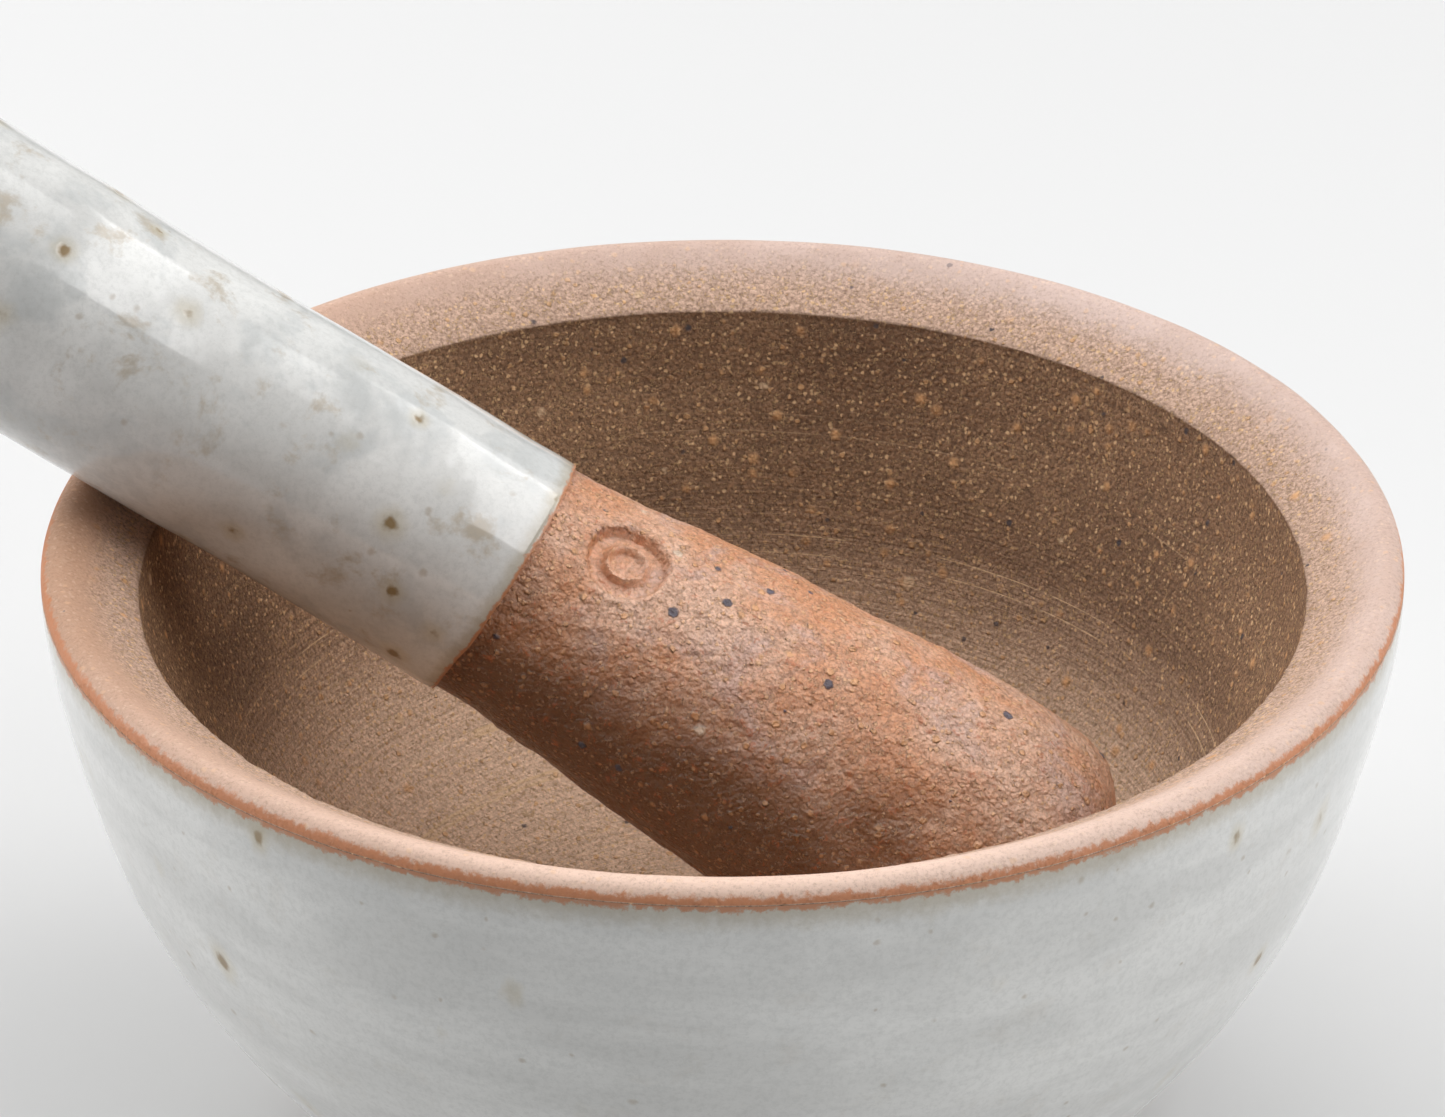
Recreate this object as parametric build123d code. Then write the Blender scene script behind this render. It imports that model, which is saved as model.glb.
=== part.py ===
from build123d import *
import os

# A thrown stoneware mortar with its pestle leaning in it. Millimetres, +Z up, origin at the centre of the
# mortar's flat foot. The pestle leans in the XZ plane: its head lies toward +X, its handle passes over the
# rim toward -X. Profile points are (radius, height) and slopes are directions in the same plane.

# Mortar: rim
RIM_CREST = (68.2, 70.0)         # highest circle of the rim
RIM_ROLL = 1.8                   # rounding over the crest
BEVEL_TOP = (67.35, 69.8)        # where the bevel that leads into the bowl leaves the rounding
INNER_EDGE = (60.2, 65.3)        # crisp edge at the foot of the bevel

# Mortar: outer wall, from the rim down to the foot
WALL_POINTS = [(69.8, 64.0), (67.5, 52.0), (60.7, 32.0), (47.0, 12.0)]
WALL_FOOT_SLOPE = (-0.85, -0.53)
FOOT_RADIUS = 36.0
FOOT_EDGE = 3.0                  # height of the foot's upright edge
FOOT_CHAMFER = 0.8

# Mortar: working surface, from the inner edge down to the middle of the floor
CAVITY_POINTS = [(54.2, 46.7), (47.8, 32.0), (38.0, 22.3), (27.0, 17.5)]
CAVITY_TOP_SLOPE = (-0.12, -1)
FLOOR_THICKNESS = 14.6

# Pestle: profile points are (radius, distance from the glaze line), + toward the tip of the head
HEAD_POINTS = [
    (13.35, 0.0), (14.6, 15.0), (15.8, 28.0), (16.75, 41.0),
    (17.3, 52.0), (17.1, 58.0), (15.5, 64.0), (11.2, 67.6),
]
HEAD_START_SLOPE = (0.02, 1)
HEAD_TIP = 69.2
HANDLE_POINTS = [(13.85, 0.0), (13.6, -28.0), (13.85, -50.0), (14.5, -72.0), (13.0, -84.0), (8.0, -90.2)]
HANDLE_END = -92.0
LEAN = 28.4                      # fall of the pestle's axis below level, in degrees
GLAZE_LINE_CENTRE = (-23.1, 0.0, 61.8)

# Glaze
GLAZE_THICKNESS = 0.5
BARE_FOOT_BAND = 5.0             # height of the bare clay above the table

INWARD = (-1, 0)
DOWN = (0, -1)


def inset(curve, depth, steps=16):
    """A curve that runs depth to the right of the given one."""
    spots = [step / steps for step in range(steps + 1)]
    points = [curve @ spot - (curve % spot).rotate(Axis.Z, 90) * depth for spot in spots]
    return Spline(*points, tangents=[curve % 0, curve % 1])


def coat_profile(outside):
    """A strip of glaze under the given outline."""
    inside = inset(outside, GLAZE_THICKNESS)
    return make_face([outside, inside, Line(outside @ 0, inside @ 0), Line(outside @ 1, inside @ 1)])


def turned(profile):
    """The solid that a flat profile sweeps in one turn about the axis of its radii."""
    return revolve(Plane.XZ * profile, Axis.Z, 360).solid()


def mortar_outer_wall():
    """From the end of the rim's rounding down to the foot."""
    top = (RIM_CREST[0] + RIM_ROLL, RIM_CREST[1] - RIM_ROLL)
    return Spline(top, *WALL_POINTS, (FOOT_RADIUS, FOOT_EDGE), tangents=[DOWN, WALL_FOOT_SLOPE])


def mortar_glaze_profile():
    """The coat on the outer wall, which ends above the foot."""
    reach = 2 * RIM_CREST[0]
    above_band = Pos(0, BARE_FOOT_BAND) * Rectangle(reach, reach, align=(Align.MIN, Align.MIN))
    return coat_profile(mortar_outer_wall()) & above_band


def mortar_profile():
    """Half section of the whole mortar, clay and glaze together."""
    bevel = Line(INNER_EDGE, BEVEL_TOP)
    wall = mortar_outer_wall()
    roll = ThreePointArc(BEVEL_TOP, RIM_CREST, wall @ 0)
    foot = Polyline(
        wall @ 1,
        (FOOT_RADIUS, FOOT_CHAMFER),
        (FOOT_RADIUS - FOOT_CHAMFER, 0),
        (0, 0),
        (0, FLOOR_THICKNESS),
    )
    cavity = Spline(INNER_EDGE, *CAVITY_POINTS, (0, FLOOR_THICKNESS), tangents=[CAVITY_TOP_SLOPE, INWARD])
    return make_face([bevel, roll, wall, *foot.edges(), cavity])


def handle_outline():
    """From the glaze line to the middle of the handle's rounded end."""
    return Spline(*HANDLE_POINTS, (0, HANDLE_END), tangents=[DOWN, INWARD])


def pestle_clay_profile():
    """The bare head and the core inside the handle's glaze."""
    head = Spline(*HEAD_POINTS, (0, HEAD_TIP), tangents=[HEAD_START_SLOPE, INWARD])
    core = inset(handle_outline(), GLAZE_THICKNESS)
    return make_face([head, core, Line(core @ 1, head @ 1)])


def leaning(solid):
    """Moves a pestle solid from its own axis to where the pestle leans in the bowl."""
    return Pos(*GLAZE_LINE_CENTRE) * Rot(0, 90 + LEAN, 0) * solid


parts = {
    "mortar_body": turned(mortar_profile() - mortar_glaze_profile()),
    "mortar_glaze": turned(mortar_glaze_profile()),
    "pestle_body": leaning(turned(pestle_clay_profile())),
    "pestle_glaze": leaning(turned(coat_profile(handle_outline()))),
}
os.makedirs("parts", exist_ok=True)
for name, solid in parts.items():
    export_step(solid, f"parts/{name}.step")
    print(f"{name}: {solid.volume / 1000:.1f} cm3, valid {solid.is_valid}")
for name in ("pestle_body", "pestle_glaze"):
    print(f"mortar_body to {name}: {parts['mortar_body'].distance_to(parts[name]):.2f} mm")
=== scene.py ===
import math

import bpy
import numpy as np
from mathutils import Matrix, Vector


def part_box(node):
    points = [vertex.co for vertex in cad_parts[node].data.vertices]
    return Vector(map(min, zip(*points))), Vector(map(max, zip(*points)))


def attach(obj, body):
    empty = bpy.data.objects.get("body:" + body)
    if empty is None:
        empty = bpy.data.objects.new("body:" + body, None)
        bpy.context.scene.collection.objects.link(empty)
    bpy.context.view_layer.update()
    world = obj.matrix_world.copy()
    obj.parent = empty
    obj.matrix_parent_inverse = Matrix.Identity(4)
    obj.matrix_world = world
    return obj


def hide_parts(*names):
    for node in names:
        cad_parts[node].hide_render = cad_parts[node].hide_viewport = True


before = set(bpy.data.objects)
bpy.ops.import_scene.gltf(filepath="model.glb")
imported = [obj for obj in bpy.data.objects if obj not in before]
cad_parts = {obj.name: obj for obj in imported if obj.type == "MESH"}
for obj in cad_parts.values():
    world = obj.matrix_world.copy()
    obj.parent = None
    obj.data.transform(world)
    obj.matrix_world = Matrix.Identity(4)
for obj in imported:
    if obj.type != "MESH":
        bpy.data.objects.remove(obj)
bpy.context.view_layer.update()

# A stoneware mortar and pestle. The outlines come from the CAD nodes, so each visible piece is its node's
# half section, resampled finely and turned about its axis, with the maker's hand-work pushed in along the
# normals. Lengths are in millimetres until a mesh is made, and colours are given as sRGB.

MM = 0.001
AT_AXIS = 0.002               # a point closer to the axis than this is on it
ON_SEAM = 0.002               # and one closer to the seam's plane than this is in it
TOUCHING = 0.08               # a surface closer to the other material than this is covered by it
ON_TABLE = 0.02               # and one closer to the table than this rests on it
CORNER = math.radians(28)     # an outline that turns by more than this at a point has a corner there
EDGE_STEP = 0.16              # spacing of the rows beside a corner
STEP_GROWTH = 0.25            # how fast the spacing grows away from it
COVERED_STEP = 5.0            # widest spacing where nothing shows
COVERED_GROWTH = 0.6
COVERED_ROOM = 0.03           # share of their length that covered rows get in the texture layout
STRIP_MARGIN = 0.003          # room left at both ends of a strip of it
STRIP_GAP = 0.01              # and between one strip and the next, as a share of a strip
SHARP = math.radians(60)      # faces that meet at more than this have a sharp edge between them


# ---------------------------------------------------------------- outlines from the frame

class Spindle:
    """The axis that a piece is turned about: where it starts, which way it goes, and where its seam lies."""

    def __init__(self, origin, along, side):
        self.origin, self.along, self.side = (np.array(v, float) for v in (origin, along, side))
        self.across = np.cross(self.along, self.side)

    def split(self, points):
        """(distance toward the seam, height along the axis, distance across) of points."""
        away = points - self.origin
        return away @ self.side, away @ self.along, away @ self.across

    def place(self, radius, height, angle):
        """Points at that radius, height and angle from the seam."""
        turn = np.cos(angle)[..., None] * self.side + np.sin(angle)[..., None] * self.across
        return self.origin + height[..., None] * self.along + radius[..., None] * turn


def welded(node):
    """A CAD node's points in millimetres, each once, and the pairs of them that share an edge."""
    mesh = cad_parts[node].data
    flat = np.empty(len(mesh.vertices) * 3, np.float32)
    mesh.vertices.foreach_get("co", flat)
    points, name = np.unique(np.round(flat.reshape(-1, 3) / MM, 3) + 0.0, axis=0, return_inverse=True)
    pairs = np.empty(len(mesh.edges) * 2, np.int32)
    mesh.edges.foreach_get("vertices", pairs)
    links = np.unique(np.sort(name.reshape(-1)[pairs].reshape(-1, 2), axis=1), axis=0)
    return points.astype(float), links[links[:, 0] != links[:, 1]]


def pestle_spindle():
    """The pestle's axis joins the ends of its core, two crowded points that lie far apart. It starts where
    the glaze does."""
    points, links = welded("pestle_body")
    crowded = points[np.bincount(links.reshape(-1)).argsort()[-8:]]
    apart = np.linalg.norm(crowded[:, None] - crowded[None], axis=2)
    ends = crowded[list(np.unravel_index(apart.argmax(), apart.shape))]
    tip, butt = ends[ends[:, 2].argsort()]
    along = (tip - butt) / np.linalg.norm(tip - butt)
    reach = ((welded("pestle_glaze")[0] - butt) @ along).max()
    return Spindle(butt + reach * along, along, (along[2], 0.0, -along[0]))


def half_section(node, spindle, first):
    """The node's outline as (radius, height) points in order, and whether it closes on itself. The point
    with the largest first(radius, height) leads, and the next one is its lower neighbour."""
    points, links = welded(node)
    side, height, off = spindle.split(points)
    on_seam = (np.abs(off) < ON_SEAM) & (side > -ON_SEAM)
    beside = {}
    for a, b in links[on_seam[links].all(axis=1)].tolist():
        beside.setdefault(a, []).append(b)
        beside.setdefault(b, []).append(a)
    ends = [k for k, near in beside.items() if len(near) == 1]
    chain = [max(ends or beside, key=lambda k: first(side[k], height[k]))]
    chain.append(min(beside[chain[0]], key=lambda k: height[k]))
    while len(chain) <= len(beside):
        onward = [k for k in beside[chain[-1]] if k != chain[-2]]
        if not onward or onward[0] == chain[0]:
            break
        chain.append(onward[0])
    radius, height = np.maximum(side[chain], 0.0), height[chain]
    if ends and radius[-1] > AT_AXIS:
        radius, height = np.append(radius, 0.0), np.append(height, height[-1])
    return radius, height, not ends


def smooth_run(points, steps):
    """Points at the given distances along a smooth curve through a run of outline points."""
    knots = np.concatenate([[0], np.cumsum(np.linalg.norm(np.diff(points, axis=0), axis=1))])
    if len(points) == 2:
        slopes = np.repeat((points[1:] - points[:1]) / knots[-1], 2, axis=0)
    else:
        slopes = np.gradient(points, knots, axis=0, edge_order=2)
    k = np.clip(np.searchsorted(knots, steps, side="right") - 1, 0, len(knots) - 2)
    span = (knots[k + 1] - knots[k])[:, None]
    t = ((steps - knots[k])[:, None]) / span
    return ((1 + 2 * t) * (1 - t) ** 2 * points[k] + t * (1 - t) ** 2 * span * slopes[k]
            + t * t * (3 - 2 * t) * points[k + 1] + t * t * (t - 1) * span * slopes[k + 1])


def resample(radius, height, closed, fine, hidden):
    """Rows of a turned piece: an outline cut at its corners, with each run spaced evenly away from them.
    hidden(point) says that nothing shows there, so few rows are needed. Returns the rows as (radius, height,
    run number, distance along, covered)."""
    outline = np.stack([radius, height], 1)
    if closed:
        outline = np.vstack([outline, outline[:1]])
    way = np.diff(outline, axis=0)
    heading = np.unwrap(np.arctan2(way[:, 1], way[:, 0]))
    under = np.array([hidden(point) for point in (outline[1:] + outline[:-1]) / 2])
    cuts = (np.abs(np.diff(heading)) > CORNER) | (under[1:] != under[:-1])
    corners = [0, *(np.flatnonzero(cuts) + 1), len(outline) - 1]
    rows, travelled = [], 0.0
    for number, (start, stop) in enumerate(zip(corners[:-1], corners[1:])):
        run = outline[start:stop + 1]
        length = np.linalg.norm(np.diff(run, axis=0), axis=1).sum()
        covered = bool(under[start])
        widest, growth = (COVERED_STEP, COVERED_GROWTH) if covered else (fine, STEP_GROWTH)
        ruler = np.linspace(0, length, 400)
        gap = np.minimum(widest, EDGE_STEP + growth * np.minimum(ruler, length - ruler))
        count = np.concatenate([[0], np.cumsum(np.diff(ruler) * (1 / gap[1:] + 1 / gap[:-1]) / 2)])
        steps = np.interp(np.linspace(0, count[-1], max(2, math.ceil(count[-1])) + 1), count, ruler)
        for step, (r, h) in zip(steps[:-1], smooth_run(run, steps[:-1])):
            rows.append((r, h, number, travelled + step, covered))
        travelled += length
    if not closed:
        rows.append((*outline[-1], number, travelled, covered))
    return [np.array(column) for column in zip(*rows)]


# ---------------------------------------------------------------- noise

def lattice(seed):
    return np.random.default_rng(seed).uniform(-1, 1, 4096)


def noise(points, cell, seed):
    """Smooth noise from -1 to 1 at points in millimetres, with lumps about one cell across."""
    table = lattice(seed)
    scaled = points / cell + 1000
    base = np.floor(scaled).astype(np.int64)
    part = scaled - base
    part = part * part * part * (part * (part * 6 - 15) + 10)
    total = 0.0
    for corner in np.ndindex(2, 2, 2):
        cx, cy, cz = (base[..., k] + corner[k] for k in range(3))
        value = table[(cx * 73856093 ^ cy * 19349663 ^ cz * 83492791) & 4095]
        weight = 1.0
        for k in range(3):
            weight = weight * (part[..., k] if corner[k] else 1 - part[..., k])
        total = total + value * weight
    return total


def layered(points, cell, seed, layers):
    """Noise with finer and weaker layers on top."""
    return sum(noise(points, cell / 2 ** k, seed + k) / 2 ** k for k in range(layers)) / 1.5


def fade(value, low, high):
    """0 below low, 1 above high, and smooth between."""
    t = np.clip((value - low) / (high - low), 0, 1)
    return t * t * (3 - 2 * t)


# ---------------------------------------------------------------- turned pieces

class Rows:
    """What a relief function works from. Each array has one entry for each row and column: radius, height,
    angle, run (number), along (the outline), covered, points (in the room) and own (from the spindle)."""


def covered_test(node, spindle, first):
    """A function that says whether a point of an outline touches that node or rests on the table."""
    other = np.stack(half_section(node, spindle, first)[:2], 1)
    way = np.roll(other, -1, axis=0) - other

    def hidden(point):
        t = np.clip(((point - other) * way).sum(1) / np.maximum((way ** 2).sum(1), 1e-9), 0, 1)
        apart = np.linalg.norm(other + t[:, None] * way - point, axis=1).min()
        above_table = spindle.place(*point[:, None], np.zeros(1))[0, 2]
        return apart < TOUCHING or above_table < ON_TABLE

    return hidden


def outward(r, h, closed):
    """The direction out of the clay at each row, and whether the rows run anticlockwise round it."""
    ahead = np.stack([np.roll(r, -1), np.roll(h, -1)], 1)
    behind = np.stack([np.roll(r, 1), np.roll(h, 1)], 1)
    if not closed:
        ahead[-1], behind[0] = (r[-1], h[-1]), (r[0], h[0])
    way = ahead - behind
    length = np.maximum(np.linalg.norm(way, axis=1), 1e-9)
    anticlockwise = (r * np.roll(h, -1) - np.roll(r, -1) * h).sum() > 0
    normal = np.stack([-way[:, 1], way[:, 0]], 1) / length[:, None]
    normal = -normal if anticlockwise else normal
    if not closed:
        normal[[0, -1]] = [[0, np.sign(normal[0, 1])], [0, np.sign(normal[-1, 1])]]
    return normal, anticlockwise


def skin(poles, columns, closed, anticlockwise):
    """Faces that join each row to the next, and for each ring of faces the (row, column) of its corners.
    A pole is a row that is one point on the axis."""
    first_vertex = np.concatenate([[0], np.cumsum(np.where(poles, 1, columns))])
    column = np.arange(columns)
    onward = (column + 1) % columns
    faces, corners = [], []
    for i in range(len(poles) if closed else len(poles) - 1):
        k = (i + 1) % len(poles)
        a = first_vertex[i] + (0 * column if poles[i] else column)
        b = first_vertex[k] + (0 * column if poles[k] else column)
        c = first_vertex[k] + (0 * column if poles[k] else onward)
        d = first_vertex[i] + (0 * column if poles[i] else onward)
        ring = [(a, i, 0), (b, i + 1, 0), (c, i + 1, 1), (d, i, 1)]
        if poles[i]:
            ring = [ring[0], ring[1], ring[2]]
        elif poles[k]:
            ring = [ring[0], ring[1], ring[3]]
        if anticlockwise:
            ring = ring[::-1]
        faces.extend(np.stack([corner[0] for corner in ring], 1).tolist())
        corners.append([np.stack([np.full(columns, corner[1]), column + corner[2]], 1) for corner in ring])
    return faces, corners


def turned_piece(name, node, spindle, columns, fine, first, covered_by, relief):
    """A closed mesh turned from a node's outline. relief(rows) gives how far each vertex is pushed out along
    the normal and slid along the axis, and the attributes that the material reads."""
    radius, height, closed = half_section(node, spindle, first)
    hidden = covered_test(covered_by, spindle, first)
    r, h, run, along, covered = resample(radius, height, closed, fine, hidden)
    normal, anticlockwise = outward(r, h, closed)

    rows = Rows()
    rows.radius, rows.height, rows.run, rows.along, rows.covered = (
        np.repeat(v[:, None], columns, axis=1) for v in (r, h, run, along, covered))
    rows.angle = np.repeat(np.arange(columns)[None] * 2 * math.pi / columns, len(r), axis=0)
    rows.points = spindle.place(rows.radius, rows.height, rows.angle)
    flat = [rows.radius * np.cos(rows.angle), rows.radius * np.sin(rows.angle)]
    rows.own = np.stack([*flat, rows.height], -1)
    push, slide, attributes = relief(rows)
    pushed = rows.height + push * normal[:, 1:] + slide
    points = spindle.place(rows.radius + push * normal[:, :1], pushed, rows.angle)

    poles = r < AT_AXIS
    keep = np.repeat((~poles)[:, None], columns, axis=1)
    keep[poles, 0] = True
    faces, corners = skin(poles, columns, closed, anticlockwise)
    mesh = bpy.data.meshes.new(name)
    mesh.from_pydata((points[keep] * MM).tolist(), [], faces)
    lay_out(mesh, corners, along, covered, closed, columns, r.max())
    for key, values in attributes.items():
        layer = mesh.attributes.new(key, "FLOAT", "POINT")
        layer.data.foreach_set("value", np.broadcast_to(values, keep.shape)[keep].astype(np.float32))
    mesh.shade_smooth()
    mesh.set_sharp_from_angle(angle=SHARP)
    mesh.validate()
    piece = bpy.data.objects.new(name, mesh)
    bpy.context.scene.collection.objects.link(piece)
    return piece


def lay_out(mesh, corners, along, covered, closed, columns, widest):
    """A texture layout that unrolls the piece into a few strips and gives covered rows little room."""
    ends = np.append(along, along[-1] + (0.5 if closed else 0.0))
    room = np.diff(ends) * np.where(covered, COVERED_ROOM, 1.0)
    up = np.concatenate([[0], np.cumsum(room if closed else room[:-1])])
    strips = max(1, round(math.sqrt(2 * math.pi * widest / up[-1])))
    up = up / up[-1]
    layer = mesh.uv_layers.new(name="OFBake")
    flat = []
    for ring in corners:
        size = len(ring)
        uv = np.empty((columns, size, 2))
        strip = (np.arange(columns) * strips // columns)
        for k, corner in enumerate(ring):
            row, column = corner[:, 0], corner[:, 1]
            across = column * strips / columns - strip
            uv[:, k, 0] = STRIP_MARGIN + (1 - 2 * STRIP_MARGIN) * across
            climbed = up[np.minimum(row, len(up) - 1)]
            uv[:, k, 1] = (strip + STRIP_GAP + (1 - 2 * STRIP_GAP) * climbed) / strips
        flat.append(uv.reshape(-1))
    layer.data.foreach_set("uv", np.concatenate(flat).astype(np.float32))


# ---------------------------------------------------------------- hand-work, as relief on the turned pieces
# Each term is a height in millimetres times noise, whose cell size and seed follow the points it is read at.

THROWING_LEAN = 0.9           # how far a throwing line climbs in one turn
THROWN = (40, 56)             # heights over which the throwing lines in the bowl fade out toward the rim
FLOOR_PAINTED_PALER = (26, 49)               # heights over which the bowl's floor, painted paler as lit and worn smooth by grinding, fades out
POLISH_START = 3.4            # depth below the top of the rim where a wet hand smoothed it a little
POLISH_FULL = 0.4             # and where it is smoothest
FOOT_TOP = 6                  # the bare clay outside is rough below this height
RIM_SHADED_SIDE = math.radians(186)      # the side of the rim painted darker golden brown, as in shade
RIM_LIT_SIDE = math.radians(278)     # and the side, facing the camera, painted palest, as lit
HEAD_LIT_SIDE = math.radians(184)       # the side of the head painted lighter and pinker, as lit from above; the underside is painted in shade
STAMP_PLACE = 9.5             # from the glaze line to the middle of the stamp
STAMP_SIDE = math.radians(203)
STAMP_RADIUS = 4.3
STAMP_DEPTH = 1.15
RING_RADIUS = 2.15            # the ring inside the stamp
RING_HALF_WIDTH = 0.36
RING_HEIGHT = 0.80
HEAD_SWELL = 0.28             # the farthest that the head stands out from its CAD shape
GLAZE_LOW_SIDE = math.radians(328)    # the side where the handle's glaze stops short
GLAZE_ROLL = 0.42             # radius of the soft roll that the handle's glaze ends in
HANDLE_RADIUS = 13.6


def bowl_clay_relief(rows):
    """Throwing lines and sand inside the bowl, a bevel smoothed by hand, and a trimmed foot."""
    cavity, bevel = rows.run == 0, rows.run == 1
    rim_top = rows.height.max()
    climb = rows.along + THROWING_LEAN * rows.angle / (2 * math.pi)
    line = np.stack([climb, climb * 0, rows.angle * 1.5], -1)
    ridges = 0.06 * noise(line, 1.5, 11) + 0.05 * noise(line, 3.6, 12) + 0.11 * noise(line, 11.0, 13)
    grains = 0.025 * noise(rows.points, 0.9, 14) + 0.02 * noise(rows.points, 1.9, 15)
    to_edge = np.abs(rows.along - rows.along[cavity].max())
    to_glaze = np.where(bevel, rows.along[bevel].max() - rows.along, 9.0)
    rough = np.exp(-to_edge / 2.5)
    nicks = 0.26 * np.maximum(layered(rows.points, 2.2, 16, 3) - 0.10, 0) * np.exp(-(to_edge / 0.9) ** 2)
    waves = 0.07 * noise(rows.points, 15.0, 17) + 0.03 * noise(rows.points, 5.0, 18)
    grog = 0.10 * np.maximum(noise(rows.points, 1.3, 21), 0) * fade(rows.height, rim_top - 1.5, rim_top - 4.0)
    push = np.where(cavity, ridges + grains, waves + rough * grains * 3.0 + grog) - nicks
    foot = (rows.height < FOOT_TOP) & ~rows.covered & ~cavity
    push = np.where(cavity | bevel, push, np.where(foot, grains * 1.4 - 0.05, 0.0))
    push = np.where(rows.covered, 0.0, push * fade(to_glaze, 0, 1.2))
    push = np.where(rows.height < 0.4, np.minimum(push, 0), push)
    # flash paints shade on one side of the rim, strongest there and weaker on the far side
    toward_rim_shade = np.cos(rows.angle - RIM_SHADED_SIDE)
    smooth = rows.height + 0.3 * noise(rows.points, 3.0, 19) + 0.2 * noise(rows.points, 12.0, 20)
    return push, 0.0, {
        "along": climb,
        "polish": fade(smooth, rim_top - POLISH_START, rim_top - POLISH_FULL) * bevel,
        "bevel": bevel,
        # edge places the painted shadow line along the rim's inner edge
        "edge": np.exp(-to_edge / 0.5),
        "to_glaze": np.minimum(to_glaze, 4.0),
        "thrown": np.where(cavity, 0.30 + 0.70 * (1 - fade(rows.height, *THROWN)), 0.0),
        # worn is 1 on the bowl's floor: painted light there, with grinding wear
        "worn": np.where(cavity, 1 - fade(rows.height, *FLOOR_PAINTED_PALER), 0.0),
        "flash": (0.5 + 0.5 * toward_rim_shade) ** 2 + 0.35 * (0.5 - 0.5 * toward_rim_shade) ** 2,
        # bleach paints light on the rim's front, toward the camera
        "bleach": (0.5 + 0.5 * np.cos(rows.angle - RIM_LIT_SIDE)) ** 4,
    }


def glaze_edge(rows):
    """Distance along the outside from the nearer end of a glaze coat, and which vertices are outside."""
    outside = ~rows.covered & (rows.run == rows.run[0 if rows.radius[0, 0] > 1 else 1].min())
    start, stop = rows.along[outside].min(), rows.along[outside].max()
    return np.where(outside, np.minimum(rows.along - start, stop - rows.along), 0.0), outside


def bowl_glaze_relief(rows):
    """Faint throwing rings and a soft orange-peel surface, thinner at both ends."""
    from_end, outside = glaze_edge(rows)
    climb = rows.along + THROWING_LEAN * rows.angle / (2 * math.pi)
    line = np.stack([climb, climb * 0, rows.angle * 1.2], -1)
    push = 0.07 * noise(line, 9.0, 31) + 0.05 * noise(rows.points, 7.0, 32)
    push = push + 0.012 * noise(rows.points, 1.6, 33)
    push = (push + 0.05) * fade(from_end, 0.2, 4.0)
    return np.where(outside, push, 0.0), 0.0, {"from_end": from_end}


def stamp_relief(rows):
    """How far a plain round stamp with one raised ring pushes the clay, and 1 inside its impression."""
    ahead = rows.height - STAMP_PLACE
    wrap = (rows.angle - STAMP_SIDE + math.pi) % (2 * math.pi) - math.pi
    off = wrap * rows.radius
    out = np.hypot(ahead, off) + 0.10 * noise(rows.points, 2.6, 52)
    well = 1 - fade(out, STAMP_RADIUS - 0.30, STAMP_RADIUS + 0.10)
    ring = np.exp(-((out - RING_RADIUS) / RING_HALF_WIDTH) ** 4)
    lip = 0.14 * np.exp(-((out - STAMP_RADIUS - 0.5) / 0.4) ** 2)
    return -STAMP_DEPTH * well + RING_HEIGHT * ring * well + lip, well


def head_relief(rows):
    """A hand-rolled head: broad dents, smaller lumps and coarse sand."""
    tip_ward = fade(rows.height, -0.2, 3.0)
    stretched = rows.own * np.array([1.0, 1.0, 0.7])
    broad = 0.30 * noise(stretched, 17.0, 41) + 0.15 * noise(stretched, 8.0, 42)
    lumps = 0.13 * noise(rows.own, 4.2, 43) + 0.07 * noise(rows.own, 2.0, 44)
    sand = 0.08 * noise(rows.own, 1.0, 45)
    drag = np.stack([rows.height, rows.angle * 2.2, rows.angle * 0], -1)
    smears = 0.05 * noise(drag, 0.9, 46) * (1 - fade(rows.height, 8, 20))
    pressed, well = stamp_relief(rows)
    calm = 1 - 0.65 * well
    push = (broad * fade(rows.height, 1, 12) + (lumps + sand + smears) * calm) * tip_ward
    push = push + pressed
    push = np.where(rows.height > 0.05, np.minimum(push, HEAD_SWELL), 0.0)
    # upper is 1 on the top of the head and 0 underneath: it places the painted light and the painted shade
    upper = 0.5 + 0.5 * np.cos(rows.angle - HEAD_LIT_SIDE) + 0.12 * noise(rows.own, 9.0, 47)
    return push, 0.0, {"upper": upper, "stamp": well}


def handle_relief(rows):
    """A squeezed and rolled handle under thick glaze, whose edge wanders and ends in a soft roll."""
    from_line = -rows.height
    _, outside = glaze_edge(rows)
    stretched = rows.own * np.array([1.0, 1.0, 0.55])
    facets = 0.34 * noise(stretched, 11.0, 61) + 0.12 * noise(stretched, 5.0, 62)
    peel = 0.008 * noise(rows.own, 1.5, 63)
    ridge = 0.05 * np.exp(-((from_line - 2.2) / 1.6) ** 2)
    push = (facets - 0.06) * fade(from_line, 0.5, 10) + peel + ridge
    drop = 1 - np.sqrt(np.clip(1 - (1 - np.clip(from_line / GLAZE_ROLL, 0, 1)) ** 2, 0, 1))
    push = push - GLAZE_ROLL * drop
    wander = np.stack([np.cos(rows.angle), np.sin(rows.angle), 0 * rows.angle], -1) * HANDLE_RADIUS
    tilt = rows.angle - GLAZE_LOW_SIDE
    dipped = 0.30 * layered(wander, 9.0, 64, 3) - 0.55 * np.cos(tilt) - 0.35 * np.cos(2 * tilt)
    slide = dipped * (1 - fade(from_line, 0, 9))
    return np.where(outside, push, 0.0), slide, {"from_end": np.where(outside, from_line, 0.0)}


# ---------------------------------------------------------------- materials

def tone(red, green, blue):
    """A linear colour from sRGB parts."""
    parts = (c / 12.92 if c <= 0.04045 else ((c + 0.055) / 1.055) ** 2.4 for c in (red, green, blue))
    return (*parts, 1.0)


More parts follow.
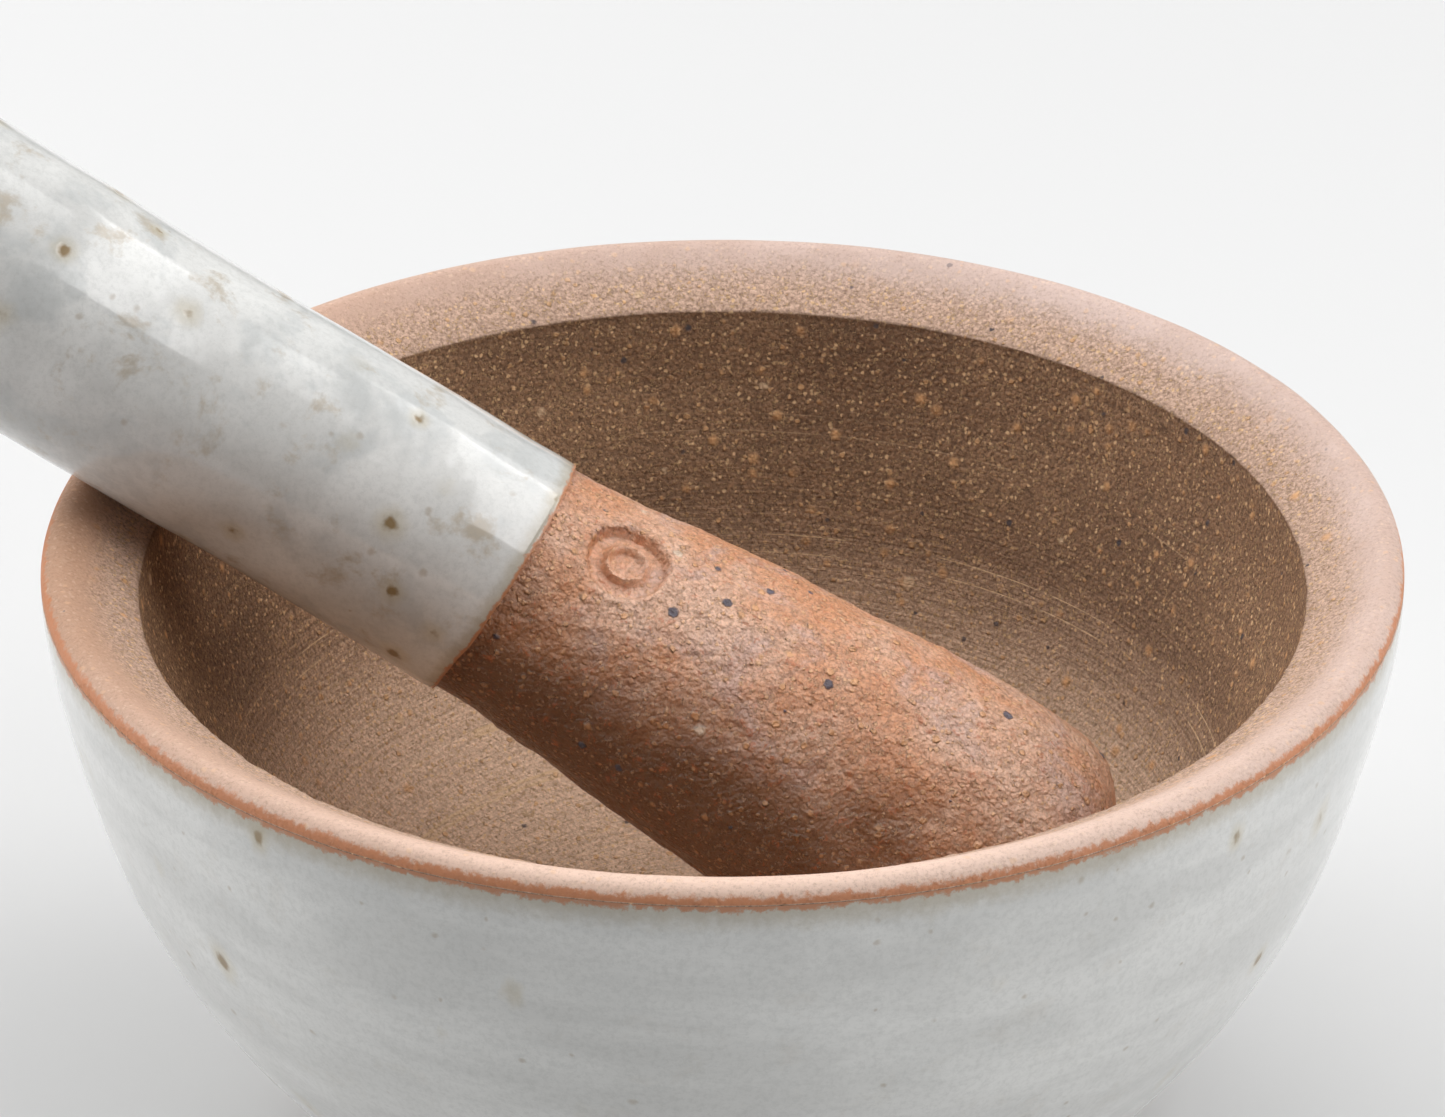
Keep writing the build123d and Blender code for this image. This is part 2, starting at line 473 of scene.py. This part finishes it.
class Look:
    """Builds one procedural material. Each method adds nodes and returns the output socket."""

    def __init__(self, name):
        self.material = bpy.data.materials.new(name)
        self.material.use_nodes = True
        self.tree = self.material.node_tree
        self.shader = self.tree.nodes["Principled BSDF"]
        scale = self.add("ShaderNodeVectorMath", operation="SCALE")
        scale.inputs["Scale"].default_value = 1 / MM
        self.tree.links.new(self.add("ShaderNodeTexCoord").outputs["Object"], scale.inputs[0])
        self.place = scale.outputs[0]

    def add(self, kind, **settings):
        """A new node with the given settings."""
        node = self.tree.nodes.new(kind)
        for key, value in settings.items():
            setattr(node, key, value)
        return node

    def plug(self, value, socket):
        """Links an output socket, or sets a constant."""
        if isinstance(value, bpy.types.NodeSocket):
            self.tree.links.new(value, socket)
        else:
            socket.default_value = value

    def math(self, operation, a, b=0.0, c=0.0):
        node = self.add("ShaderNodeMath", operation=operation)
        for value, socket in zip((a, b, c), node.inputs):
            self.plug(value, socket)
        return node.outputs[0]

    def attribute(self, name):
        """A value that the mesh carries at each vertex."""
        return self.add("ShaderNodeAttribute", attribute_name=name).outputs["Fac"]

    def join(self, x, y=0.0, z=0.0):
        """A place from three values."""
        node = self.add("ShaderNodeCombineXYZ")
        for value, socket in zip((x, y, z), node.inputs):
            self.plug(value, socket)
        return node.outputs[0]

    def noise(self, size, detail=2.0, rough=0.5, twist=0.0, at=None):
        """Noise from 0 to 1 whose lumps are about size millimetres."""
        node = self.add("ShaderNodeTexNoise")
        node.inputs["Scale"].default_value = 1 / size
        node.inputs["Detail"].default_value = detail
        node.inputs["Roughness"].default_value = rough
        node.inputs["Distortion"].default_value = twist
        self.plug(at or self.place, node.inputs["Vector"])
        return node.outputs["Fac"]

    def scaled(self, factors):
        """The place, stretched or squeezed along each axis."""
        node = self.add("ShaderNodeVectorMath", operation="MULTIPLY")
        self.plug(self.place, node.inputs[0])
        node.inputs[1].default_value = factors
        return node.outputs[0]

    def shifted(self, size, reach, at=None):
        """The place, shaken by noise, so that what is drawn from it has ragged edges."""
        node = self.add("ShaderNodeTexNoise")
        node.inputs["Scale"].default_value = 1 / size
        self.plug(at or self.place, node.inputs["Vector"])
        centred = self.add("ShaderNodeVectorMath", operation="SUBTRACT")
        self.plug(node.outputs["Color"], centred.inputs[0])
        centred.inputs[1].default_value = (0.5, 0.5, 0.5)
        moved = self.add("ShaderNodeVectorMath", operation="MULTIPLY_ADD")
        self.plug(centred.outputs[0], moved.inputs[0])
        moved.inputs[1].default_value = (reach, reach, reach)
        self.plug(at or self.place, moved.inputs[2])
        return moved.outputs[0]

    def span(self, value, low, high, to_low=0.0, to_high=1.0):
        """value, carried smoothly from low..high to to_low..to_high."""
        node = self.add("ShaderNodeMapRange", interpolation_type="SMOOTHSTEP")
        self.plug(value, node.inputs["Value"])
        for key, number in (("From Min", low), ("From Max", high), ("To Min", to_low), ("To Max", to_high)):
            self.plug(number, node.inputs[key])
        return node.outputs[0]

    def mix(self, factor, first, second):
        """first, turning into second as factor goes from 0 to 1."""
        node = self.add("ShaderNodeMix", data_type="RGBA")
        self.plug(factor, node.inputs[0])
        self.plug(first, node.inputs[6])
        self.plug(second, node.inputs[7])
        return node.outputs[2]

    def scales(self, cell, at=None):
        """Crowded scales about one cell wide: 1 in the middle of each, falling to 0 along the seams."""
        node = self.add("ShaderNodeTexVoronoi", feature="F1")
        node.inputs["Scale"].default_value = 1 / cell
        self.plug(at or self.place, node.inputs["Vector"])
        return self.span(node.outputs["Distance"], 0.75, 0.10)

    def specks(self, cell, radius, share, soft=0.35, at=None):
        """1 inside grains of up to that radius, one in a share of the cells, and 0 elsewhere."""
        node = self.add("ShaderNodeTexVoronoi", feature="F1")
        node.inputs["Scale"].default_value = 1 / cell
        self.plug(at or self.place, node.inputs["Vector"])
        parts = self.add("ShaderNodeSeparateColor")
        self.plug(node.outputs["Color"], parts.inputs[0])
        chosen = self.math("LESS_THAN", parts.outputs[0], share)
        size = self.math("MULTIPLY_ADD", parts.outputs[1], 0.6 * radius / cell, 0.4 * radius / cell)
        ratio = self.math("DIVIDE", node.outputs["Distance"], size)
        return self.math("MULTIPLY", self.span(ratio, 1 + soft, 1 - soft), chosen)

    def bump(self, height, depth, onto=None):
        """A normal from a height of 0 to 1 that stands for depth millimetres."""
        node = self.add("ShaderNodeBump")
        node.inputs["Strength"].default_value = 1.0
        node.inputs["Distance"].default_value = depth * MM
        self.plug(height, node.inputs["Height"])
        if onto:
            self.plug(onto, node.inputs["Normal"])
        return node.outputs[0]

    def finish(self, colour, rough, normal):
        """The material, with these on its shader."""
        self.plug(colour, self.shader.inputs["Base Color"])
        self.plug(rough, self.shader.inputs["Roughness"])
        self.plug(normal, self.shader.inputs["Normal"])
        return self.material


def bowl_clay():
    """Brown stoneware: dark and sandy in the bowl, painted paler at the bottom as painted light and worn
    smooth there, smoothed along the rim.
    """
    look = Look("brown_stoneware")
    polish, edge, to_glaze = look.attribute("polish"), look.attribute("edge"), look.attribute("to_glaze")
    thrown, along, worn = look.attribute("thrown"), look.attribute("along"), look.attribute("worn")
    bevel, flash = look.attribute("bevel"), look.attribute("flash")
    ragged = look.shifted(0.5, 0.45)

    patches = look.noise(22.0, 3.0, 0.6)
    ground = look.mix(look.span(patches, 0.35, 0.65), tone(0.60, 0.455, 0.335), tone(0.69, 0.535, 0.40))
    # painted light: the floor of the bowl is painted paler, and it is also worn smooth there
    ground = look.mix(worn, ground, tone(0.96, 0.815, 0.70))
    ground = look.mix(look.math("MULTIPLY", bevel, 0.88), ground, tone(0.895, 0.75, 0.66))
    grain = look.noise(0.42, 4.0, 0.85)
    filled = look.math("MULTIPLY_ADD", worn, -0.56, look.math("MULTIPLY_ADD", bevel, -0.36, 0.84))
    pores = look.math("MULTIPLY", look.span(grain, 0.54, 0.38), filled)
    ground = look.mix(pores, ground, tone(0.33, 0.23, 0.165))
    scales = look.scales(0.50, at=look.shifted(0.4, 0.2))
    seams = look.math("MULTIPLY", look.span(scales, 0.42, 0.05), look.math("MULTIPLY", filled, 0.50))
    ground = look.mix(seams, ground, tone(0.36, 0.255, 0.18))
    meal = look.span(look.noise(0.60, 4.0, 0.8, 0.3), 0.555, 0.61)
    colour = look.mix(look.math("MULTIPLY", meal, 0.72), ground, tone(0.86, 0.70, 0.51))
    flour = look.specks(0.62, 0.23, 0.40, at=ragged)
    colour = look.mix(look.math("MULTIPLY", flour, 0.90), colour, tone(0.93, 0.77, 0.585))
    sand = look.specks(1.1, 0.36, 0.25, at=ragged)
    colour = look.mix(look.math("MULTIPLY", sand, 0.78), colour, tone(0.90, 0.70, 0.50))
    orange = look.specks(2.3, 0.62, 0.22, soft=0.7, at=ragged)
    colour = look.mix(look.math("MULTIPLY", orange, 0.85), colour, tone(0.90, 0.68, 0.47))
    pale = look.specks(4.6, 0.75, 0.22, at=look.shifted(0.9, 0.9))
    colour = look.mix(look.math("MULTIPLY", pale, 0.78), colour, tone(0.92, 0.78, 0.63))
    dark = look.specks(3.4, 0.42, 0.30, at=ragged)
    colour = look.mix(look.math("MULTIPLY", dark, 0.85), colour, tone(0.22, 0.22, 0.26))

    turn = look.math("MULTIPLY", look.math("SUBTRACT", patches, 0.5), 1.4)
    rings = look.noise(0.50, 3.0, 0.75, at=look.join(along, turn))
    carved = look.math("MULTIPLY_ADD", worn, -0.55, thrown)
    grooves = look.math("MULTIPLY", look.span(rings, 0.54, 0.42), look.math("MULTIPLY", carved, 0.34))
    colour = look.mix(grooves, colour, tone(0.36, 0.26, 0.185))
    level = look.noise(3.4, 0.0, at=look.join(along, look.math("MULTIPLY", turn, 0.6)))
    off_level = look.math("ABSOLUTE", look.math("SUBTRACT", level, 0.62))
    broken = look.math("MULTIPLY", thrown, look.span(look.noise(9.0, 3.0), 0.42, 0.58))
    scratches = look.math("MULTIPLY", look.span(off_level, 0.022, 0.003), look.math("MULTIPLY", broken, 0.85))
    colour = look.mix(scratches, colour, tone(0.90, 0.76, 0.60))

    blotches = look.span(look.noise(8.0, 3.0), 0.35, 0.65)
    rim = look.mix(blotches, tone(0.83, 0.745, 0.715), tone(0.87, 0.79, 0.765))
    # painted light: the front of the rim, toward the camera, is painted paler
    rim = look.mix(look.attribute("bleach"), rim, tone(0.99, 0.875, 0.81))
    # painted shade: the rim is painted darker golden brown toward its shaded side
    rim = look.mix(look.math("MULTIPLY", flash, 0.85), rim, tone(0.755, 0.565, 0.425))
    rim = look.mix(look.span(grain, 0.34, 0.52, 0.34, 0.0), rim, tone(0.58, 0.43, 0.35))
    rim = look.mix(look.math("MULTIPLY", meal, 0.22), rim, tone(0.94, 0.83, 0.74))
    rim = look.mix(look.math("MULTIPLY", flour, 0.30), rim, tone(0.95, 0.84, 0.75))
    rim = look.mix(look.math("MULTIPLY", sand, 0.40), rim, tone(0.93, 0.77, 0.62))
    rim = look.mix(look.math("MULTIPLY", dark, 0.60), rim, tone(0.42, 0.38, 0.40))
    colour = look.mix(look.math("MULTIPLY", polish, 0.95), colour, rim)
    # painted shadow: a dark line along the inner edge, where the rim turns down into the bowl
    colour = look.mix(look.math("MULTIPLY", edge, 0.40), colour, tone(0.44, 0.32, 0.23))
    teeth = look.math("MULTIPLY", look.math("SUBTRACT", look.noise(1.1, 4.0, 0.75), 0.5), 2.4)
    # the orange line along the glaze is drawn wider on the side painted in shade
    past_glaze = look.math("MULTIPLY_ADD", flash, -0.8, look.math("ADD", to_glaze, teeth))
    lip = look.span(past_glaze, 0.80, 0.15)
    colour = look.mix(look.math("MULTIPLY", lip, 0.85), colour, tone(0.80, 0.50, 0.31))

    rough = look.math("SUBTRACT", look.span(grain, 0.2, 0.8, 0.86, 0.62), look.math("MULTIPLY", polish, 0.24))
    coarse = look.math("SUBTRACT", 1.0, look.math("MULTIPLY", polish, 0.85))
    height = look.math("MULTIPLY", look.math("ADD", grain, look.math("MULTIPLY", meal, 0.7)), coarse)
    normal = look.bump(height, 0.16)
    normal = look.bump(look.math("MULTIPLY", scales, coarse), 0.08, normal)
    normal = look.bump(look.math("MULTIPLY", rings, thrown), 0.18, normal)
    stones = look.math("ADD", sand, look.math("ADD", orange, pale))
    normal = look.bump(look.math("MULTIPLY", stones, coarse), 0.14, normal)
    return look.finish(colour, rough, normal)


def head_clay():
    """Orange-brown stoneware with a dry sheen: painted light and a painted sheen make it pink above, and
    painted shade makes it deep brown below.
    """
    look = Look("orange_stoneware")
    stamp = look.attribute("stamp")
    upper = look.span(look.attribute("upper"), 0.53, 0.95)
    ragged = look.shifted(0.5, 0.45)

    patches = look.noise(13.0, 3.0, 0.6)
    ground = look.mix(look.span(patches, 0.38, 0.62), tone(0.93, 0.655, 0.475), tone(0.98, 0.79, 0.67))
    # painted sheen: pale pink-grey patches stand in for the light's sheen on the head, and show only on its
    # lit top
    painted_sheen = look.span(look.noise(8.0, 4.0, 0.65, 0.6), 0.50, 0.66)
    ground = look.mix(look.math("MULTIPLY", painted_sheen, 0.60), ground, tone(0.87, 0.74, 0.70))
    # painted shade: the underside is painted deep brown, and the lit top keeps the paler ground
    ground = look.mix(upper, tone(0.505, 0.345, 0.21), ground)
    grain = look.noise(0.42, 4.0, 0.85)
    ground = look.mix(look.span(grain, 0.38, 0.54, 0.35, 0.0), ground, tone(0.46, 0.26, 0.155))
    scales = look.scales(0.58, at=look.shifted(0.5, 0.22))
    ground = look.mix(look.span(scales, 0.45, 0.05, 0.0, 0.24), ground, tone(0.47, 0.275, 0.17))
    # painted light and shade: the pale specks show more on the lit top than on the shaded underside
    specks_in_light = look.math("MULTIPLY_ADD", upper, 0.36, 0.56)
    meal = look.span(look.noise(0.75, 4.0, 0.8, 0.3), 0.56, 0.63)
    meal_share = look.math("MULTIPLY", meal, look.math("MULTIPLY", specks_in_light, 0.75))
    colour = look.mix(meal_share, ground, tone(0.97, 0.77, 0.60))
    rust = look.span(look.noise(1.1, 4.0, 0.75, 0.4), 0.57, 0.65)
    colour = look.mix(look.math("MULTIPLY", rust, 0.55), colour, tone(0.80, 0.45, 0.26))
    flour = look.specks(0.72, 0.25, 0.50, at=ragged)
    flour_share = look.math("MULTIPLY", flour, look.math("MULTIPLY", specks_in_light, 0.85))
    colour = look.mix(flour_share, colour, tone(0.98, 0.77, 0.58))
    sand = look.specks(1.4, 0.44, 0.34, at=ragged)
    sand_share = look.math("MULTIPLY", sand, look.math("MULTIPLY", specks_in_light, 0.90))
    colour = look.mix(sand_share, colour, tone(0.95, 0.71, 0.50))
    pale = look.specks(4.6, 0.62, 0.22, at=look.shifted(0.9, 0.9))
    pale_share = look.math("MULTIPLY", pale, look.math("MULTIPLY", specks_in_light, 0.85))
    colour = look.mix(pale_share, colour, tone(0.96, 0.86, 0.76))
    iron = look.specks(4.2, 0.60, 0.42, soft=0.2, at=ragged)
    colour = look.mix(look.math("MULTIPLY", iron, 0.9), colour, tone(0.28, 0.30, 0.38))
    colour = look.mix(look.math("MULTIPLY", stamp, 0.18), colour, tone(0.80, 0.63, 0.53))

    dry = look.span(grain, 0.2, 0.8, 0.42, 0.27)
    rough = look.math("ADD", dry, look.span(patches, 0.35, 0.65, 0.05, -0.05))
    look.shader.inputs["IOR"].default_value = 1.7
    calm = look.math("SUBTRACT", 1.0, look.math("MULTIPLY", stamp, 0.6))
    height = look.math("MULTIPLY", look.math("ADD", grain, look.math("ADD", flour, meal)), calm)
    normal = look.bump(height, 0.16)
    normal = look.bump(look.math("MULTIPLY", scales, calm), 0.08, normal)
    normal = look.bump(look.math("MULTIPLY", look.noise(2.2, 3.0, 0.6), calm), 1.0, normal)
    normal = look.bump(look.math("ADD", iron, look.math("ADD", sand, pale)), 0.20, normal)
    return look.finish(colour, rough, normal)


def glaze(name, fringe, place, bands, clouds_share, spot_cell, spot_share):
    """Milky white glaze with clouds, iron specks, and a brown line, fringe wide, where it runs thin.
    place stretches the spots and bands stretches the clouds."""
    look = Look(name)
    from_end = look.attribute("from_end")
    clouds = look.noise(15.0, 5.0, 0.6, 0.4, at=look.scaled(bands))
    white = look.mix(look.span(clouds, 0.36, 0.64), tone(0.86, 0.86, 0.85), tone(0.92, 0.92, 0.91))
    grey = look.span(look.noise(8.0, 4.0, 0.6, 0.3), 0.48, 0.66)
    white = look.mix(look.math("MULTIPLY", grey, 0.5 * clouds_share), white, tone(0.74, 0.755, 0.755))
    straw = look.span(look.noise(6.5, 5.0, 0.68, 0.2), 0.54, 0.70)
    white = look.mix(look.math("MULTIPLY", straw, 0.70 * clouds_share), white, tone(0.72, 0.66, 0.565))
    mottle = look.noise(0.8, 4.0, 0.8)
    colour = look.mix(look.span(mottle, 0.30, 0.60, 0.24, 0.0), white, tone(0.66, 0.665, 0.65))

    ragged = look.shifted(1.0, 0.9, at=look.scaled(place))
    halo = look.specks(spot_cell, 1.6, spot_share, soft=0.8, at=ragged)
    core = look.specks(spot_cell, 0.80, spot_share, soft=0.45, at=ragged)
    colour = look.mix(look.math("MULTIPLY", halo, 0.42), colour, tone(0.75, 0.68, 0.50))
    colour = look.mix(look.math("MULTIPLY", core, 0.82), colour, tone(0.53, 0.41, 0.20))
    fine = look.specks(2.6, 0.42, 0.25, soft=0.6, at=look.shifted(0.8, 0.5))
    colour = look.mix(look.math("MULTIPLY", fine, 0.40), colour, tone(0.62, 0.54, 0.42))

    teeth = look.noise(1.3, 4.0, 0.75)
    bites = look.math("MULTIPLY", look.math("SUBTRACT", teeth, 0.5), 3.4 * fringe)
    worn = look.math("SUBTRACT", from_end, bites)
    thin = look.span(worn, 5.0 * fringe, 0.6 * fringe)
    colour = look.mix(look.math("MULTIPLY", thin, 0.58), colour, tone(0.66, 0.60, 0.48))
    line = look.span(worn, 1.05 * fringe, 0.30 * fringe)
    colour = look.mix(look.math("MULTIPLY", line, 0.90), colour, tone(0.74, 0.47, 0.29))

    rough = look.math("MULTIPLY_ADD", line, 0.25, look.span(mottle, 0.3, 0.7, 0.13, 0.07))
    look.shader.inputs["IOR"].default_value = 1.6
    normal = look.bump(look.noise(1.4, 2.0, 0.5), 0.008)
    normal = look.bump(look.math("SUBTRACT", 1.0, core), 0.02, normal)
    return look.finish(colour, rough, normal)


# ---------------------------------------------------------------- the pieces

wheel = Spindle((0, 0, 0), (0, 0, 1), (1, 0, 0))
pestle = pestle_spindle()

EVEN = (1.0, 1.0, 1.0)
RUNS = (1.0, 1.0, 0.6)        # marks that run down a little
BANDS = (0.5, 0.5, 1.8)       # marks drawn out sideways on the wheel

PIECES = [
    # name, node, body, slot, axis, columns, row step, first outline point, covered by, relief, material
    ("mortar_clay", "mortar_body", "mortar", "brown_clay", wheel, 450, 0.74,
     lambda r, h: h, "mortar_glaze", bowl_clay_relief, bowl_clay()),
    ("mortar_glaze_coat", "mortar_glaze", "mortar", "white_glaze", wheel, 480, 0.80,
     lambda r, h: r + 100 * h, "mortar_body", bowl_glaze_relief,
     glaze("bowl_glaze", 0.70, RUNS, BANDS, 0.15, 6.5, 0.30)),
    ("pestle_clay", "pestle_body", "pestle", "orange_clay", pestle, 330, 0.34,
     lambda r, h: h, "pestle_glaze", head_relief, head_clay()),
    ("pestle_glaze_coat", "pestle_glaze", "pestle", "white_glaze", pestle, 240, 0.55,
     lambda r, h: -h, "pestle_body", handle_relief,
     glaze("handle_glaze", 0.42, EVEN, EVEN, 1.0, 5.6, 0.46)),
]
for name, node, body, slot, spindle, columns, fine, first, covered_by, relief, material in PIECES:
    piece = turned_piece(name, node, spindle, columns, fine, first, covered_by, relief)
    piece.data.materials.append(material)
    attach(piece, body)
    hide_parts(node)


# ---------------------------------------------------------------- stage, light and camera

def stage_floor():
    """A plain pale table."""
    half = 2.5
    corners = [(-half, -half, 0), (half, -half, 0), (half, half, 0), (-half, half, 0)]
    mesh = bpy.data.meshes.new("table")
    mesh.from_pydata(corners, [], [(0, 1, 2, 3)])
    table = bpy.data.objects.new("table", mesh)
    bpy.context.scene.collection.objects.link(table)
    material = bpy.data.materials.new("table_paper")
    material.use_nodes = True
    shader = material.node_tree.nodes["Principled BSDF"]
    shader.inputs["Base Color"].default_value = tone(0.85, 0.85, 0.85)
    shader.inputs["Roughness"].default_value = 0.8
    mesh.materials.append(material)


def softbox(name, place, target, width, height, watts):
    """A soft rectangular light, in metres and watts, turned toward its target."""
    light = bpy.data.lights.new(name, "AREA")
    light.shape = "RECTANGLE"
    light.size, light.size_y, light.energy = width, height, watts
    lamp = bpy.data.objects.new(name, light)
    lamp.location = place
    lamp.rotation_euler = (Vector(target) - Vector(place)).to_track_quat("-Z", "Y").to_euler()
    bpy.context.scene.collection.objects.link(lamp)


VIEW_AZIMUTH = math.radians(12.7)     # the camera stands in front, a little to the right
VIEW_ELEVATION = math.radians(28.6)   # how high it stands above the rim
VIEW_PITCH = math.radians(28.83)      # how far it looks down
VIEW_DISTANCE = 0.669
LENS = 161.9


def camera(rim):
    """A long lens that looks down into the bowl from in front of its rim."""
    lens = bpy.data.cameras.new("camera")
    lens.lens = LENS
    lens.sensor_width = 36
    eye = bpy.data.objects.new("camera", lens)
    ahead, up = math.cos(VIEW_ELEVATION), math.sin(VIEW_ELEVATION)
    back = Vector((math.sin(VIEW_AZIMUTH) * ahead, -math.cos(VIEW_AZIMUTH) * ahead, up))
    eye.location = rim + VIEW_DISTANCE * back
    eye.rotation_euler = (math.pi / 2 - VIEW_PITCH, 0, VIEW_AZIMUTH)
    bpy.context.scene.collection.objects.link(eye)
    bpy.context.scene.camera = eye


def light_room(rim):
    """A dim white room with broad lights over and around the bowl."""
    scene = bpy.context.scene
    scene.view_settings.view_transform = "Standard"
    world = bpy.data.worlds.new("room")
    world.use_nodes = True
    glow = world.node_tree.nodes["Background"]
    glow.inputs["Color"].default_value = (1.0, 1.0, 1.0, 1.0)
    glow.inputs["Strength"].default_value = 0.02
    scene.world = world
    softbox("top", (-0.10, 0.05, 0.90), (-0.10, 0.05, 0.0), 0.90, 0.60, 3.7)
    softbox("strip", (0.46, 0.06, 0.82), (0.46, 0.06, 0.0), 0.20, 1.24, 3.1)
    softbox("back", (0.15, 0.95, 0.50), rim, 1.70, 0.80, 1.5)
    softbox("back_left", (-0.55, 0.65, 0.65), rim, 0.60, 0.60, 3.2)
    softbox("back_right", (0.65, 0.60, 0.60), rim, 0.60, 0.60, 2.1)
    softbox("left", (-0.85, -0.05, 0.45), rim, 0.60, 0.60, 5.4)
    softbox("right", (0.90, -0.10, 0.45), rim, 0.60, 0.60, 3.3)


rim = Vector((0, 0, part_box("mortar_body")[1].z))
stage_floor()
light_room(rim)
camera(rim)
